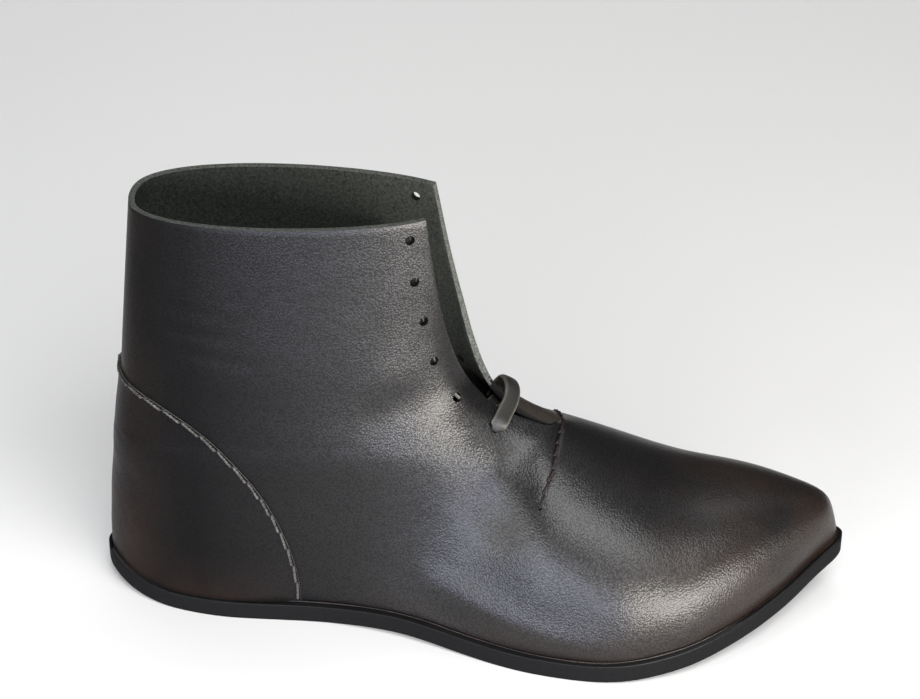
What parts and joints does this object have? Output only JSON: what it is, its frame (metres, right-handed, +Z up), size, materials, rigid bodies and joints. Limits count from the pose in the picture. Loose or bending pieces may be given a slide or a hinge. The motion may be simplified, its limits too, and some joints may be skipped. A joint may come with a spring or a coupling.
{
  "type": "leather lace-up ankle boot",
  "caption": "Right-foot black leather lace-up ankle boot with a pointed almond toe, open collar and throat, sewn heel counter, thong lace and a thin flat rubber sole.",
  "frame": {"origin": "on the floor under the middle of the boot's bounding box", "axes": "+X from heel to toe, -Y the outer side of the foot, +Z up"},
  "size_m": [0.288, 0.103, 0.172],
  "materials": {
    "sole_rubber": "matte black sheet rubber",
    "insole_leather": "dark flesh-side leather",
    "upper_leather": "semi-gloss black grain leather",
    "counter_leather": "semi-gloss black grain leather",
    "tongue_leather": "black grain leather",
    "thong_leather": "flat black leather thong"
  },
  "bodies": {
    "root": {"outsole": "sole_rubber", "insole": "insole_leather", "upper": "upper_leather", "heel_counter": "counter_leather", "tongue": "tongue_leather", "lace_bar": "thong_leather", "lace_end_lateral": "thong_leather", "lace_end_medial": "thong_leather"}
  },
  "joints": []
}
